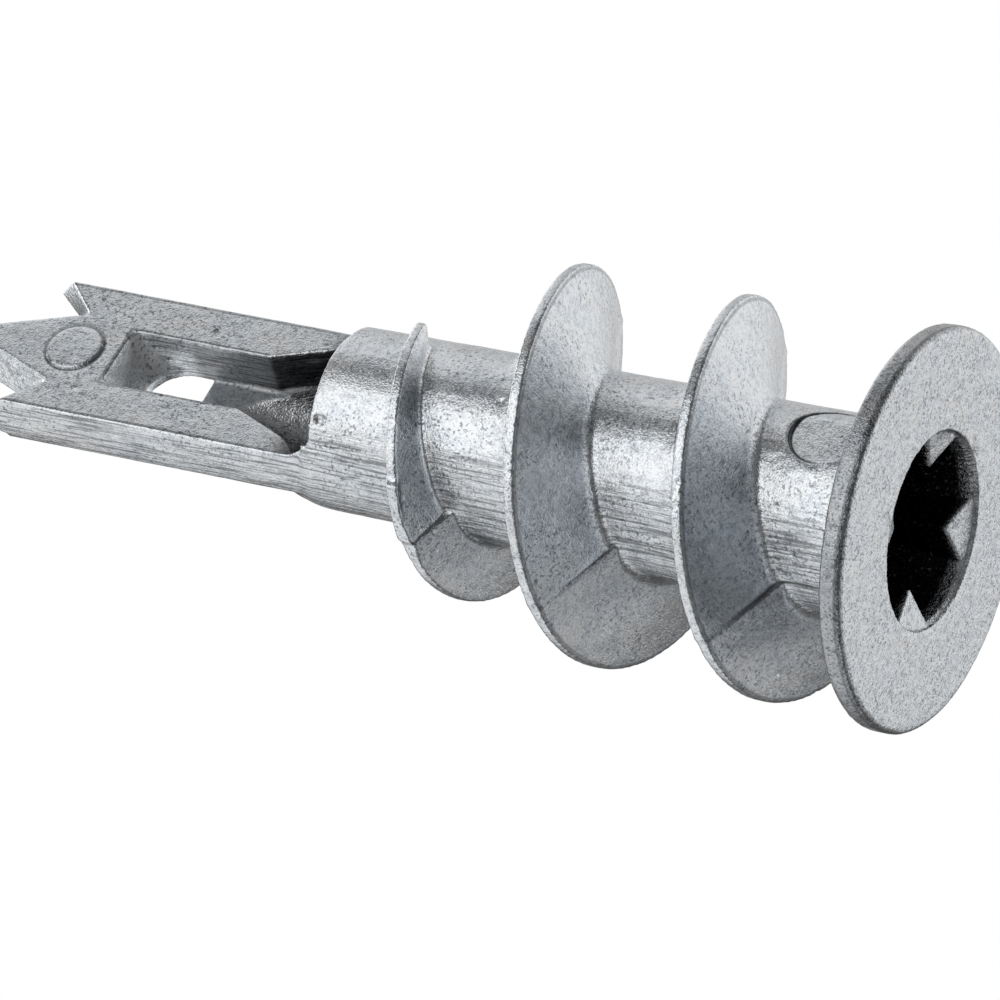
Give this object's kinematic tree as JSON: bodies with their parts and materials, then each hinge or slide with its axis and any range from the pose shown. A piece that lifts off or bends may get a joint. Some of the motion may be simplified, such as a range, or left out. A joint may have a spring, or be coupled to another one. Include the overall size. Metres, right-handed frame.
{
  "type": "metal plasterboard anchor",
  "caption": "Self-drilling cast metal anchor for plasterboard: flanged head with cross drive, coarse right-hand thread on a hollow shank, flat drill blade with a window.",
  "frame": {"origin": "centre of the head's front face", "axes": "+Z along the axis from the head to the drill point, +X across the blade, -Y out of the blade's open front face"},
  "size_m": [0.014, 0.014, 0.0393],
  "materials": {
    "zinc_casting": "bare zinc alloy as cast, satin and finely speckled"
  },
  "bodies": {
    "root": {"anchor": "zinc_casting"}
  },
  "joints": []
}
